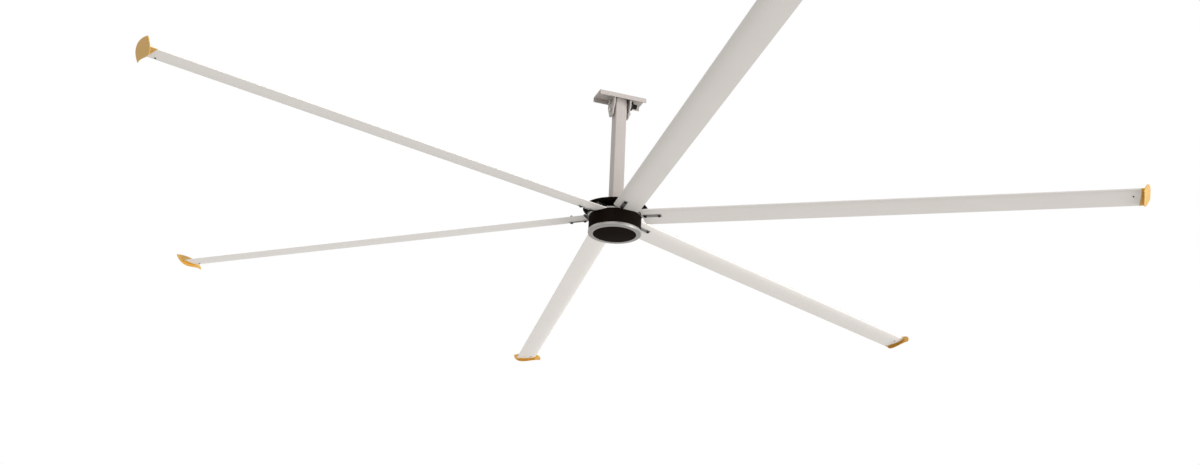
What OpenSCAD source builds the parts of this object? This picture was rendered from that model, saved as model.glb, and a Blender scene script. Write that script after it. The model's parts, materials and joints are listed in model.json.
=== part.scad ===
// High-volume low-speed ceiling fan: a six-blade rotor with a direct-drive outer-rotor motor,
// hung on a square downrod from a channel-shaped ceiling mount.
// Millimetres. Origin: centre of the mount's top face, which bolts to the ceiling. +Z is up.

/* [Rotor] */
// Diameter over the middles of the winglets
fan_d = 7300; // [4900:100:7300]
// Depth of the blade plane below the ceiling face
drop = 975; // [800:25:1600]
// Angle of the first blade from +X, seen from above
first_blade_angle = 22.83; // [0:0.01:59]
// Downward cone angle of the blades
cone = 2.1; // [0:0.1:4]
// Pitch of the blades, leading edge up
pitch = 12.2; // [4:0.1:16]

/* [Blade] */
// Chord of the blade section
chord = 194; // [170:1:220]
// Greatest thickness of the blade section
blade_t = 36; // [32:1:44]
// Height of the camber line above the chord
camber = 3; // [0:1:12]
// Wall of the hollow blade
blade_wall = 1.8; // [1.6:0.1:3]
// Radius at which the blade starts
blade_start = 207; // [202:1:216]
// Distance from the arm's centreline to mid-chord
chord_offset = 35; // [28:1:42]

/* [Blade arm] */
// Width of the arm's bar
arm_w = 60; // [50:1:66]
// Thickness of the arm's bar
arm_t = 12; // [8:1:14]
// Radius at which the bar ends inside the blade
arm_end = 520; // [420:10:700]
// Radius of the inner blade bolt
blade_bolt_r1 = 235; // [228:1:245]
// Distance between the two blade bolts
blade_bolt_gap = 105; // [80:1:140]
// Thread diameter of the blade and arm bolts
arm_bolt_d = 12; // [10:1:14]
// Thickness of the strap under each blade root
strap_t = 4; // [3:0.5:6]

/* [Winglet] */
// Length of the winglet fin
fin_l = 266; // [240:2:300]
// Thickness of the fin
fin_t = 4.5; // [3:0.5:6]
// Height of the fin's upper edge above the line between its ends
fin_rise = 63; // [40:1:70]
// Depth of the fin's lower edge below the line between its ends
fin_keel = 67; // [40:1:72]
// Angle of the line between the fin's ends, rear end up
fin_slope = 11; // [0:1:20]
// Angle at which the fin leans outwards
fin_lean = 25; // [0:1:30]
// Angle at which the fin's rear end turns outwards
fin_toe = 9; // [0:1:12]
// Distance the fin stands out from the blade's end
fin_reach = 55; // [45:1:80]

/* [Motor] */
// Outer radius of the motor drum
drum_r = 195; // [190:1:200]
// Height of the motor drum
drum_h = 110; // [106:1:130]
// Wall of the motor drum
drum_wall = 8; // [6:1:10]
// Distance the silver rings stand out past the drum
ring_lip = 3; // [1:0.5:6]
// Radius of the hub disc
disc_r = 242; // [236:1:250]
// Thickness of the hub disc
disc_t = 8; // [6:1:12]
// Radius of the bottom cover
cover_r = 160; // [150:1:165]
// Radius of the motor shaft at its bearings
shaft_r = 30; // [28:1:32]
// Air gap between the stator and the magnets
air_gap = 1; // [0.8:0.1:2]

/* [Downrod] */
// Width of the square downrod
rod_w = 90; // [80:1:100]
// Wall of the downrod
rod_wall = 5; // [4:0.5:8]
// Radius of the flanges that join the downrod to the motor shaft
flange_r = 90; // [88:1:96]

/* [Ceiling mount] */
// Length of the channel
mount_l = 375; // [320:5:400]
// Width of the channel
mount_w = 160; // [150:5:200]
// Height of the channel's flanges
mount_h = 38; // [30:1:46]
// Wall of the channel
mount_t = 8; // [6:1:10]
// Spacing of the ceiling bolts along the channel
bolt_dx = 260; // [250:5:290]
// Spacing of the ceiling bolts across the channel
bolt_dy = 80; // [70:5:90]
// Radius of the ceiling bolt holes
bolt_hole_r = 7; // [5.5:0.5:9]
// Depth of the pivot bolt below the ceiling face
pivot_z = 50; // [48:1:54]
// Distance from the pivot bolt down to the clamp bolt
clamp_r = 70; // [64:1:76]
// Swing of the downrod each way
swing = 12; // [5:1:14]
// Thickness of the bracket ears
ear_t = 10; // [8:1:12]
// Depth of the ears' lowest point below the ceiling face
ear_bottom = 172; // [165:1:190]

/* [Hidden] */
$fn = 72;
blades = 6;

// Fits
run_fit = 0.05;      // radial play of a shaft in a bore that turns on it
slide_fit = 0.3;     // play of an arm or tongue in its slot
face_play = 0.2;     // play between faces that slide
ball_play = 0.15;    // play of a bearing ball in its grooves

// Colours
SILVER = [0.78, 0.77, 0.75];
BLACK = [0.08, 0.075, 0.07];
WHITE = [0.9, 0.89, 0.87];
GREY = [0.8, 0.77, 0.75];
AMBER = [0.88, 0.72, 0.42];
STEEL = [0.6, 0.6, 0.6];
COPPER = [0.72, 0.45, 0.25];
DARK_STEEL = [0.25, 0.25, 0.26];

// Heights in the rotor, from the blade plane
bell_top = -6;
bell_t = 14;
drum_top = bell_top - bell_t;
drum_bottom = drum_top - drum_h;
disc_bottom = 38;
disc_top = disc_bottom + disc_t;
shaft_flange_t = 14;
rod_flange_t = 12;
disc_air = 16;
shaft_flange_bottom = disc_top + disc_air;
rod_flange_bottom = shaft_flange_bottom + shaft_flange_t;
rod_bottom = rod_flange_bottom + rod_flange_t;

// Bearings
bearing_r = shaft_r + 25;
bearing_w = 22;
race_t = 9;
ball_r = 8;
balls = 10;
pitch_r = (shaft_r + bearing_r) / 2;
pocket_play = 0.2;
cage_wall = 2;
cage_half_t = 2.3;
upper_bearing_top = -10;
upper_bearing_z = upper_bearing_top - bearing_w / 2;
cap_drop = 2;
lower_bearing_z = drum_bottom + cap_drop - 1;
core_r = shaft_r + 6;
shaft_bore_r = 14;
nut_h = 9.5;

// Bearing housings
housing_wall = 13;
housing_r = bearing_r + housing_wall;
bearing_lip_r = bearing_r - 7;
seal_r = bearing_r - 9;
seal_h = 10;
spigot_top = 12;

// Motor core
back_iron_t = 10;
magnet_t = 7;
magnet_count = 24;
magnet_share = 0.86;
slots = 36;
slot_w = 8;
slot_mouth = 3;
iron_r = drum_r - drum_wall;
magnet_r = iron_r - back_iron_t;
stator_r = magnet_r - magnet_t - air_gap;
tooth_tip = 6;
slot_depth = 45;
core_yoke = 18;
core_inner_r = stator_r - tooth_tip - slot_depth - core_yoke;
core_end_gap = 22;
core_top = drum_top - core_end_gap;
core_bottom = drum_bottom + core_end_gap;
core_h = core_top - core_bottom;
coil_overhang = 8;
coil_play = 0.3;
iron_margin = 12;

// Caps, cover and screws
cap_h = 25;
cap_bottom = drum_bottom - cap_h;
cap_chamfer = 7;
cover_t = 3.5;
cover_play = 0.5;
cover_ledge = 10;
cap_plate_top = drum_bottom - 4;
cap_plate_t = 10;
ring_r = drum_r + ring_lip;
screw_r = 2.5;
housing_screw_count = 6;
screw_start = first_blade_angle + 30;
housing_screw_l = 26;
housing_screw_at = drum_r - drum_wall / 2;
cover_screw_at = cover_r - cover_ledge / 2;
cover_screw_l = 9;

// Blade arm pads and their bolts
pad_r1 = 112;
pad_r2 = 205;
pad_w = 64;
arm_start = 125;
bell_air = 2;
arm_bolt_at = [138, 178];
arm_bolt_r = arm_bolt_d / 2;
head_h = arm_bolt_r * 1.25;
head_r = arm_bolt_r * 1.83;
nut_t = arm_bolt_r * 1.7;
bolt_run = 4;

// Blade section
slot_half_w = arm_w / 2 + slide_fit;
slot_half_h = arm_t / 2 + slide_fit;
tip_r = fan_d / 2;
blade_end = tip_r - fin_reach;
section_steps = 22;
arm_u = 0.5 - chord_offset / chord;
trailing_t = 1.4;
web_2 = 52;
tongue_l = 90;
tongue_screw = 45;
strap_w = 30;
strap_margin = 17;
strap_rise = 12;

// Mount bracket
pivot_r = 12;
pivot_hole_r = 12.3;
clamp_bolt_r = 8;
clamp_hole_r = 8.1;
slot_play = 0.5;
ear_gap = 15;
ear_x = rod_w / 2 + ear_gap;
ear_out = ear_x + ear_t;
ear_half_w = mount_w / 2 - mount_t - 2;
ear_taper_z = 85;
ear_low_half_w = 40;
ear_corner = 30;
sleeve_r = 20;
rod_top = 24;
rod_corner = 9;
pivot_washer_r = 22;
pivot_washer_t = 4;
pivot_head_r = 20.8;
pivot_head_h = 15;
pivot_nut_h = 21.5;
lock_nut_h = 12;
buffer_r = 36;
buffer_t = 30;
thread_end = 5;
clamp_washer_r = 17;
clamp_washer_t = 3;
clamp_head_r = 13.9;
clamp_head_h = 10;
clamp_nut_h = 13;
flange_bolt_r = 8;
flange_bolt_pcd = 150;
flange_bolt_count = 4;
grommet_z = 240;
grommet_r = 12;
grommet_lip = 5;
grommet_lip_t = 3;
cable_r = 7;

// Half thickness of the blade section at the share u of the chord, without the wall w
function half_t(u, w) = blade_t * 5 * (0.2969 * sqrt(u) - 0.126 * u - 0.3516 * pow(u, 2)
    + 0.2843 * pow(u, 3) - 0.1036 * pow(u, 4)) + trailing_t * u - w;

// Height of the camber line, measured from its height at the arm
function camber_z(u) = 4 * camber * (u * (1 - u) - arm_u * (1 - arm_u));

// Place along the chord at the share u, with the arm at 0 and the leading edge at the lowest
function chord_y(u) = (u - arm_u) * chord;

// Outline of the blade section from share a to share b, thinned by the wall w
function section_points(a, b, w) =
    let (us = [for (k = [0:section_steps]) a + (b - a) * (1 - cos(180 * k / section_steps)) / 2])
    concat([for (u = us) [chord_y(u), camber_z(u) + half_t(u, w)]],
           [for (k = [section_steps:-1:(a > 0 ? 0 : 1)])
               [chord_y(us[k]), camber_z(us[k]) - half_t(us[k], w)]]);

// Turns a flat outline drawn in Y and Z so that its thickness runs along X
module across_x(x, length) {
    translate([x, 0, 0]) rotate([90, 0, 90]) linear_extrude(length) children();
}

// A round bar or ring along X
module bar_x(x, length, r) {
    translate([x, 0, 0]) rotate([0, 90, 0]) cylinder(h = length, r = r);
}

module hex_x(x, length, r) {
    translate([x, 0, 0]) rotate([0, 90, 0]) cylinder(h = length, r = r, $fn = 6);
}

module ring(z, h, r_out, r_in) {
    translate([0, 0, z]) linear_extrude(h) difference() {
        circle(r_out);
        circle(r_in);
    }
}

// A square outline with round corners
module round_square(w, r) {
    square([w, w - 2 * r], center = true);
    square([w - 2 * r, w], center = true);
    for (x = [-1, 1], y = [-1, 1]) translate([x, y] * (w / 2 - r)) circle(r);
}

module around(count, start = 0) {
    for (i = [0:count - 1]) rotate(start + i * 360 / count) children();
}

// Places the children in the rotor, with the blade plane at height 0
module rotor_frame() {
    translate([0, 0, -drop]) children();
}

// Places the children on arm i, with X outwards and the trailing side at +Y
module arm_level(i) {
    rotor_frame() rotate(first_blade_angle + (i - 1) * 360 / blades) children();
}

// Places the children on arm i, coned and pitched as the blade is
module arm_frame(i) {
    arm_level(i) rotate([0, cone, 0]) rotate([-pitch, 0, 0]) children();
}

// Ceiling mount
module mount_channel() {
    inner = mount_w - 2 * mount_t;
    color(GREY) difference() {
        across_x(-mount_l / 2, mount_l) difference() {
            union() {
                translate([-mount_w / 2, -mount_h]) square([mount_w, mount_h - mount_t]);
                translate([-inner / 2, -mount_h]) square([inner, mount_h]);
                for (s = [-1, 1]) translate([s * inner / 2, -mount_t]) circle(mount_t);
            }
            translate([-inner / 2, -mount_h - 1]) square([inner, mount_h + 1 - mount_t]);
        }
        for (x = [-1, 1], y = [-1, 1])
            translate([x * bolt_dx / 2, y * bolt_dy / 2, -mount_t - 1])
                cylinder(h = mount_t + 2, r = bolt_hole_r);
    }
}

// Directions in the ear's plane: straight down turned by a, and square to that
function below(a) = [sin(a), -cos(a)];
function beside(a) = [cos(a), sin(a)];

// Outline of an ear, with the pivot hole and the curved slot of the clamp bolt
module ear_outline() {
    low_z = -(ear_bottom - ear_corner);
    corner_y = ear_low_half_w - ear_corner;
    arc = [for (a = [0:10:90]) [corner_y + ear_corner * cos(a), low_z - ear_corner * sin(a)]];
    side = concat([[ear_half_w, -mount_t], [ear_half_w, -ear_taper_z]], arc);
    slot_r = clamp_bolt_r + slot_play;
    slot_a = swing + 0.5;
    run = [for (k = [-4:4]) k * slot_a / 4];
    difference() {
        polygon(concat(side, [for (k = [len(side) - 1:-1:0]) [-side[k][0], side[k][1]]]));
        translate([0, -pivot_z]) {
            circle(pivot_hole_r);
            polygon(concat(
                [for (a = run) (clamp_r + slot_r) * below(a)],
                [for (b = [20:20:160]) slot_end(slot_a, slot_r, b)],
                [for (a = run) (clamp_r - slot_r) * below(-a)],
                [for (b = [200:20:340]) slot_end(-slot_a, slot_r, b)]));
        }
    }
}

// A point on the round end of the slot at the angle a
function slot_end(a, r, b) =
    clamp_r * below(a) + r * (cos(b) * below(a) + sin(b) * beside(a));

module ear_left() {
    color(GREY) across_x(-ear_out, ear_t) ear_outline();
}

module ear_right() {
    color(GREY) across_x(ear_x, ear_t) ear_outline();
}

module at_pivot() {
    translate([0, 0, -pivot_z]) children();
}

pivot_stack = ear_out + buffer_t + pivot_washer_t;
pivot_end = pivot_stack + pivot_nut_h + lock_nut_h + thread_end;

module pivot_bolt() {
    head_x = -ear_out - pivot_washer_t;
    color(STEEL) at_pivot() union() {
        hex_x(head_x - pivot_head_h, pivot_head_h, pivot_head_r);
        bar_x(head_x, pivot_end - head_x, pivot_r);
    }
}

module pivot_washers() {
    color(SILVER) at_pivot() difference() {
        union() {
            bar_x(-ear_out - pivot_washer_t, pivot_washer_t, pivot_washer_r);
            bar_x(ear_out + buffer_t, pivot_washer_t, pivot_washer_r);
        }
        bar_x(-pivot_end, 2 * pivot_end, pivot_r + run_fit);
    }
}

module pivot_nuts() {
    color(BLACK) at_pivot() difference() {
        union() {
            hex_x(pivot_stack, pivot_nut_h, pivot_head_r);
            hex_x(pivot_stack + pivot_nut_h + 0.1, lock_nut_h, pivot_head_r);
        }
        bar_x(pivot_stack - 1, pivot_end, pivot_r + run_fit);
    }
}

module pivot_buffer() {
    color(BLACK) at_pivot() difference() {
        bar_x(ear_out, buffer_t, buffer_r);
        bar_x(ear_out - 1, buffer_t + 2, pivot_r + run_fit);
    }
}

// Downrod and its clamp
module downrod() {
    rod_l = drop - rod_top - rod_bottom;
    color(GREY) difference() {
        translate([0, 0, -rod_top - rod_l]) linear_extrude(rod_l) difference() {
            round_square(rod_w, rod_corner);
            round_square(rod_w - 2 * rod_wall, rod_corner - rod_wall);
        }
        at_pivot() bar_x(-rod_w, 2 * rod_w, sleeve_r);
        translate([0, 0, -clamp_r]) at_pivot() bar_x(-rod_w, 2 * rod_w, clamp_hole_r);
        translate([0, 0, -grommet_z]) rotate([-90, 0, 0]) cylinder(h = rod_w, r = grommet_r);
    }
}

module pivot_sleeve() {
    half = ear_x - face_play;
    color(STEEL) at_pivot() difference() {
        bar_x(-half, 2 * half, sleeve_r);
        bar_x(-half - 1, 2 * half + 2, pivot_r + run_fit);
    }
}

clamp_face = ear_out + face_play;

module clamp_bolt() {
    head_x = -clamp_face - clamp_washer_t;
    end_x = clamp_face + clamp_washer_t + clamp_nut_h + thread_end;
    color(SILVER) at_pivot() translate([0, 0, -clamp_r]) union() {
        hex_x(head_x - clamp_head_h, clamp_head_h, clamp_head_r);
        bar_x(head_x, end_x - head_x, clamp_bolt_r);
    }
}

module clamp_washers() {
    color(SILVER) at_pivot() translate([0, 0, -clamp_r]) difference() {
        union() {
            bar_x(-clamp_face - clamp_washer_t, clamp_washer_t, clamp_washer_r);
            bar_x(clamp_face, clamp_washer_t, clamp_washer_r);
        }
        bar_x(-2 * clamp_face, 4 * clamp_face, clamp_bolt_r + run_fit);
    }
}

module clamp_nut() {
    nut_x = clamp_face + clamp_washer_t;
    color(SILVER) at_pivot() translate([0, 0, -clamp_r]) difference() {
        hex_x(nut_x, clamp_nut_h, clamp_head_r);
        bar_x(nut_x - 1, clamp_nut_h + 2, clamp_bolt_r + run_fit);
    }
}

module cable_grommet() {
    inside = rod_w / 2 - rod_wall - grommet_lip_t;
    outside = rod_w / 2;
    color(BLACK) translate([0, 0, -grommet_z]) rotate([-90, 0, 0]) difference() {
        union() {
            translate([0, 0, inside]) cylinder(h = grommet_lip_t, r = grommet_r + grommet_lip);
            translate([0, 0, inside]) cylinder(h = outside - inside, r = grommet_r);
            translate([0, 0, outside]) cylinder(h = grommet_lip_t, r = grommet_r + grommet_lip);
        }
        translate([0, 0, inside - 1]) cylinder(h = rod_w, r = cable_r);
    }
}

module rod_flange() {
    color(GREY) rotor_frame() translate([0, 0, rod_flange_bottom]) linear_extrude(rod_flange_t)
        difference() {
            circle(flange_r);
            circle(shaft_bore_r);
            around(flange_bolt_count) translate([flange_bolt_pcd / 2, 0])
                circle(flange_bolt_r + run_fit);
        }
}

module flange_bolts() {
    color(SILVER) rotor_frame() around(flange_bolt_count)
        translate([flange_bolt_pcd / 2, 0, shaft_flange_bottom]) union() {
            cylinder(h = shaft_flange_t + rod_flange_t, r = flange_bolt_r);
            translate([0, 0, shaft_flange_t + rod_flange_t])
                cylinder(h = clamp_head_h, r = clamp_head_r, $fn = 6);
        }
}

// Fixed half of the motor
module stator_shaft() {
    step_1 = upper_bearing_top - bearing_w;
    step_2 = lower_bearing_z + bearing_w / 2;
    foot = lower_bearing_z - bearing_w / 2 - nut_h;
    color(STEEL) rotor_frame() difference() {
        union() {
            translate([0, 0, shaft_flange_bottom]) cylinder(h = shaft_flange_t, r = flange_r);
            translate([0, 0, foot]) cylinder(h = shaft_flange_bottom - foot, r = shaft_r);
            translate([0, 0, step_2]) cylinder(h = step_1 - step_2, r = core_r);
        }
        translate([0, 0, foot - 1])
            cylinder(h = rod_flange_bottom - foot + 2, r = shaft_bore_r);
        around(flange_bolt_count) translate([flange_bolt_pcd / 2, 0, shaft_flange_bottom - 1])
            cylinder(h = shaft_flange_t + 2, r = flange_bolt_r + run_fit);
    }
}

module shaft_nut() {
    low = lower_bearing_z - bearing_w / 2 - nut_h;
    color(DARK_STEEL) rotor_frame() difference() {
        ring(low, nut_h, shaft_r + 12, shaft_r + run_fit);
        around(4) translate([shaft_r + 9, -3, low - 1]) cube([9, 6, nut_h + 2]);
    }
}

module stator_carrier() {
    hub_wall = 12;
    rim_wall = 8;
    web_t = 10;
    holes_at = (core_r + hub_wall + core_inner_r - rim_wall) / 2;
    hole_r = (core_inner_r - rim_wall - core_r - hub_wall) / 2 - 3;
    color(SILVER) rotor_frame() difference() {
        union() {
            ring(core_bottom, core_h, core_r + hub_wall, core_r);
            ring(core_bottom, core_h, core_inner_r, core_inner_r - rim_wall);
            ring((core_top + core_bottom - web_t) / 2, web_t, core_inner_r - 1, core_r + 1);
        }
        around(6) translate([holes_at, 0, core_bottom - 1]) cylinder(h = core_h + 2, r = hole_r);
    }
}

module stator_core() {
    slot_out = stator_r - tooth_tip;
    color(DARK_STEEL) rotor_frame() translate([0, 0, core_bottom]) linear_extrude(core_h)
        difference() {
            circle(stator_r);
            circle(core_inner_r);
            around(slots) {
                translate([slot_out - slot_depth, -slot_w / 2]) square([slot_depth, slot_w]);
                translate([slot_out - 1, -slot_mouth / 2]) square([tooth_tip + 2, slot_mouth]);
            }
        }
}

module stator_coils() {
    r_in = stator_r - tooth_tip - slot_depth + coil_play;
    r_out = stator_r - tooth_tip - coil_play;
    w = slot_w - 2 * coil_play;
    color(COPPER) rotor_frame() union() {
        ring(core_top, coil_overhang, r_out, r_in);
        ring(core_bottom - coil_overhang, coil_overhang, r_out, r_in);
        around(slots) translate([r_in + 0.5, -w / 2, core_bottom - 1])
            cube([r_out - r_in - 1, w, core_h + 2]);
    }
}

// Bearings
module bearing_groove() {
    translate([pitch_r, 0]) circle(ball_r + ball_play);
}

module inner_race(z) {
    color(STEEL) rotor_frame() translate([0, 0, z]) rotate_extrude() difference() {
        translate([shaft_r, -bearing_w / 2]) square([race_t, bearing_w]);
        bearing_groove();
    }
}

module outer_race(z) {
    color(STEEL) rotor_frame() translate([0, 0, z]) rotate_extrude() difference() {
        translate([bearing_r - race_t, -bearing_w / 2]) square([race_t, bearing_w]);
        bearing_groove();
    }
}

module ball_cage(z) {
    half_h = ball_r + pocket_play + cage_wall;
    color(STEEL) rotor_frame() translate([0, 0, z]) {
        around(balls) translate([pitch_r, 0, 0]) sphere(r = ball_r);
        difference() {
            ring(-half_h, 2 * half_h, pitch_r + cage_half_t, pitch_r - cage_half_t);
            around(balls) rotate([0, 90, 0]) translate([0, 0, pitch_r - bearing_w / 2])
                cylinder(h = bearing_w, r = ball_r + pocket_play);
        }
    }
}

module upper_inner_race() { inner_race(upper_bearing_z); }
module lower_inner_race() { inner_race(lower_bearing_z); }
module upper_outer_race() { outer_race(upper_bearing_z); }
module lower_outer_race() { outer_race(lower_bearing_z); }
module upper_ball_cage() { ball_cage(upper_bearing_z); }
module lower_ball_cage() { ball_cage(lower_bearing_z); }

// Turning half of the motor
module screw_holes(count, at, low, length) {
    around(count, screw_start) translate([at, 0, low]) cylinder(h = length, r = screw_r + run_fit);
}

module motor_housing() {
    color(BLACK) rotor_frame() difference() {
        ring(drum_bottom, drum_h, drum_r, drum_r - drum_wall);
        screw_holes(housing_screw_count, housing_screw_at, drum_bottom - 1, drum_h + 2);
    }
}

module upper_end_bell() {
    low = upper_bearing_top - bearing_w - 4;
    color(SILVER) rotor_frame() difference() {
        rotate_extrude() polygon([
            [bearing_r, low], [housing_r, low], [housing_r, drum_top], [ring_r, drum_top],
            [ring_r, bell_top - 3], [ring_r - 3, bell_top], [housing_r, bell_top],
            [housing_r, spigot_top], [seal_r, spigot_top], [seal_r, spigot_top - seal_h - 2],
            [bearing_lip_r, spigot_top - seal_h - 2], [bearing_lip_r, upper_bearing_top],
            [bearing_r, upper_bearing_top]]);
        screw_holes(housing_screw_count, housing_screw_at, drum_top - 1, bell_t + 2);
        around(blades, first_blade_angle) for (r = arm_bolt_at) translate([r, 0, drum_top - 1])
            cylinder(h = bell_t + 2, r = arm_bolt_r + run_fit);
    }
}

module lower_cap() {
    housing_top = lower_bearing_z + bearing_w / 2 + 6;
    lip_top = lower_bearing_z - bearing_w / 2;
    plate_bottom = cap_plate_top - cap_plate_t;
    ledge = cap_bottom + cover_t + cover_play;
    inner = drum_r - drum_wall - 4;
    recess_r = cover_r + cover_play;
    color(SILVER) rotor_frame() difference() {
        rotate_extrude() polygon([
            [bearing_r, housing_top], [housing_r, housing_top], [housing_r, cap_plate_top],
            [inner, cap_plate_top], [inner, drum_bottom], [ring_r, drum_bottom],
            [ring_r, cap_bottom + cap_chamfer], [ring_r - cap_chamfer, cap_bottom],
            [recess_r, cap_bottom], [recess_r, ledge], [cover_r - cover_ledge, ledge],
            [cover_r - cover_ledge, plate_bottom], [bearing_lip_r, plate_bottom],
            [bearing_lip_r, lip_top], [bearing_r, lip_top]]);
        screw_holes(housing_screw_count, housing_screw_at, cap_bottom - 1, cap_h + 2);
        screw_holes(housing_screw_count, cover_screw_at, ledge - 1, cover_screw_l);
    }
}

module bottom_cover() {
    low = cap_bottom + cover_play;
    color(BLACK) rotor_frame() difference() {
        translate([0, 0, low]) cylinder(h = cover_t, r = cover_r);
        screw_holes(housing_screw_count, cover_screw_at, low - 1, cover_t + 2);
    }
}

module hub_disc() {
    color(BLACK) rotor_frame() translate([0, 0, disc_bottom]) linear_extrude(disc_t)
        difference() {
            circle(disc_r);
            circle(shaft_r + 16);
            around(blades, first_blade_angle) for (r = arm_bolt_at) translate([r, 0])
                circle(arm_bolt_r + run_fit);
        }
}

module back_iron() {
    color(DARK_STEEL) rotor_frame()
        ring(drum_bottom + iron_margin, drum_h - 2 * iron_margin, iron_r, magnet_r);
}

module magnets() {
    a = 180 * magnet_share / magnet_count;
    steps = 6;
    arc = [for (k = [0:steps]) -a + 2 * a * k / steps];
    color(STEEL) rotor_frame() translate([0, 0, drum_bottom + iron_margin])
        linear_extrude(drum_h - 2 * iron_margin) around(magnet_count) polygon(concat(
            [for (t = arc) magnet_r * [cos(t), sin(t)]],
            [for (k = [steps:-1:0]) (magnet_r - magnet_t) * [cos(arc[k]), sin(arc[k])]]));
}

module shaft_seal() {
    color(BLACK) rotor_frame() ring(spigot_top - seal_h, seal_h, seal_r, shaft_r + run_fit);
}

module housing_screws() {
    head = 3;
    color(SILVER) rotor_frame() around(housing_screw_count, screw_start)
        translate([housing_screw_at, 0, 0]) {
            translate([0, 0, bell_top - housing_screw_l])
                cylinder(h = housing_screw_l, r = screw_r);
            translate([0, 0, bell_top]) cylinder(h = head, r = 2 * screw_r);
            translate([0, 0, cap_bottom + cap_chamfer])
                cylinder(h = housing_screw_l, r = screw_r);
        }
}

module cover_screws() {
    low = cap_bottom + cover_play;
    color(BLACK) rotor_frame() around(housing_screw_count, screw_start)
        translate([cover_screw_at, 0, low]) union() {
            cylinder(h = cover_screw_l, r = screw_r);
            translate([0, 0, -2]) cylinder(h = 2, r = 2 * screw_r);
        }
}

module arm_bolts() {
    low = drum_top + 1;
    color(BLACK) rotor_frame() around(blades, first_blade_angle) for (r = arm_bolt_at)
        translate([r, 0, 0]) union() {
            translate([0, 0, low]) cylinder(h = disc_top - low, r = arm_bolt_r);
            translate([0, 0, disc_top]) cylinder(h = head_h, r = head_r, $fn = 6);
        }
}

// Blades and what joins them to the hub
module blade_arm(i) {
    color(SILVER) difference() {
        union() {
            arm_level(i) translate([pad_r1, -pad_w / 2, bell_top])
                cube([pad_r2 - pad_r1, pad_w, disc_bottom - bell_top]);
            arm_frame(i) translate([arm_start, -arm_w / 2, -arm_t / 2])
                cube([arm_end - arm_start, arm_w, arm_t]);
        }
        arm_level(i) translate([0, -pad_w, bell_top - pad_w])
            cube([ring_r + bell_air, 2 * pad_w, pad_w]);
        arm_level(i) for (r = arm_bolt_at) translate([r, 0, bell_top - 1])
            cylinder(h = disc_bottom - bell_top + 2, r = arm_bolt_r + run_fit);
        arm_frame(i) blade_bolt_places() translate([0, 0, -arm_t])
            cylinder(h = 2 * arm_t, r = arm_bolt_r + run_fit);
    }
}

module blade_bolt_places() {
    for (k = [0, 1]) translate([blade_bolt_r1 + k * blade_bolt_gap, 0, 0]) children();
}

// Hollow section with a slot for the arm and the winglet's tongue
module blade_section() {
    w = blade_wall;
    far = chord;
    difference() {
        polygon(section_points(0, 1, 0));
        square([2 * slot_half_w, 2 * slot_half_h], center = true);
        intersection() {
            polygon(section_points(0.03, 0.88, w));
            union() {
                translate([-slot_half_w - w - far, -far]) square([far, 2 * far]);
                translate([slot_half_w + w, -far]) square([web_2, 2 * far]);
                translate([slot_half_w + 2 * w + web_2, -far]) square([far, 2 * far]);
                translate([-slot_half_w, slot_half_h + w]) square([2 * slot_half_w, far]);
                translate([-slot_half_w, -slot_half_h - w - far])
                    square([2 * slot_half_w, far]);
            }
        }
    }
}

module blade(i) {
    screw_x = blade_end - tongue_screw;
    color(WHITE) arm_frame(i) difference() {
        across_x(blade_start, blade_end - blade_start) blade_section();
        blade_bolt_places() translate([0, 0, -blade_t])
            cylinder(h = 2 * blade_t, r = arm_bolt_r + run_fit);
        translate([screw_x, 0, -blade_t]) cylinder(h = blade_t, r = screw_r + run_fit);
    }
}

module root_straps() {
    length = blade_bolt_gap + 2 * strap_margin;
    low = -half_t(arm_u, 0) - strap_t;
    color(DARK_STEEL) for (i = [1:blades]) arm_frame(i) difference() {
        across_x(blade_bolt_r1 - strap_margin, length) difference() {
            translate([-strap_w / 2, low]) square([strap_w, strap_rise]);
            polygon(section_points(0, 1, 0));
        }
        blade_bolt_places() translate([0, 0, low - 1])
            cylinder(h = strap_rise + 2, r = arm_bolt_r + run_fit);
    }
}

bolt_under = -half_t(arm_u, 0) - strap_t;
nut_seat = half_t(arm_u, 0) + 1;

module blade_bolts() {
    color(DARK_STEEL) for (i = [1:blades]) arm_frame(i) blade_bolt_places() union() {
        translate([0, 0, bolt_under - head_h]) cylinder(h = head_h, r = head_r, $fn = 6);
        translate([0, 0, bolt_under]) cylinder(
            h = nut_seat + nut_t + bolt_run - bolt_under, r = arm_bolt_r);
    }
}

module blade_nuts() {
    color(DARK_STEEL) for (i = [1:blades]) arm_frame(i) blade_bolt_places() difference() {
        translate([0, 0, nut_seat]) cylinder(h = nut_t, r = head_r, $fn = 6);
        translate([0, 0, nut_seat - 1]) cylinder(h = nut_t + 2, r = arm_bolt_r + run_fit);
    }
}

// Winglet fin: a flat leaf-shaped plate, high towards its front end and deep towards its rear end
fin_at = tip_r - 15;
fin_pivot_y = 0.56;
fin_pivot_z = 0.42;
fin_steps = 24;

// A hump of height 1 between 0 and 1, leaning to one side as its two powers say
function hump(t, p, q) = let (m = p / (p + q))
    pow(t, p) * pow(1 - t, q) / (pow(m, p) * pow(1 - m, q));

function fin_line(t) = fin_l * tan(fin_slope) * (t - fin_pivot_z);
function fin_top(t) = [fin_l * (t - fin_pivot_y), fin_line(t) + fin_rise * hump(t, 0.35, 1)];
function fin_low(t) = [fin_l * (t - fin_pivot_y), fin_line(t) - fin_keel * hump(t, 1.7, 0.5)];

// Places the children at the fin of arm i, beyond the middle of the blade's chord, with X square
// to the fin's plate
module fin_frame(i) {
    arm_level(i) rotate([0, cone, 0])
        translate([fin_at, chord_offset * cos(pitch), -chord_offset * sin(pitch)])
        rotate([0, 0, -fin_toe]) rotate([0, fin_lean, 0]) children();
}

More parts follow.
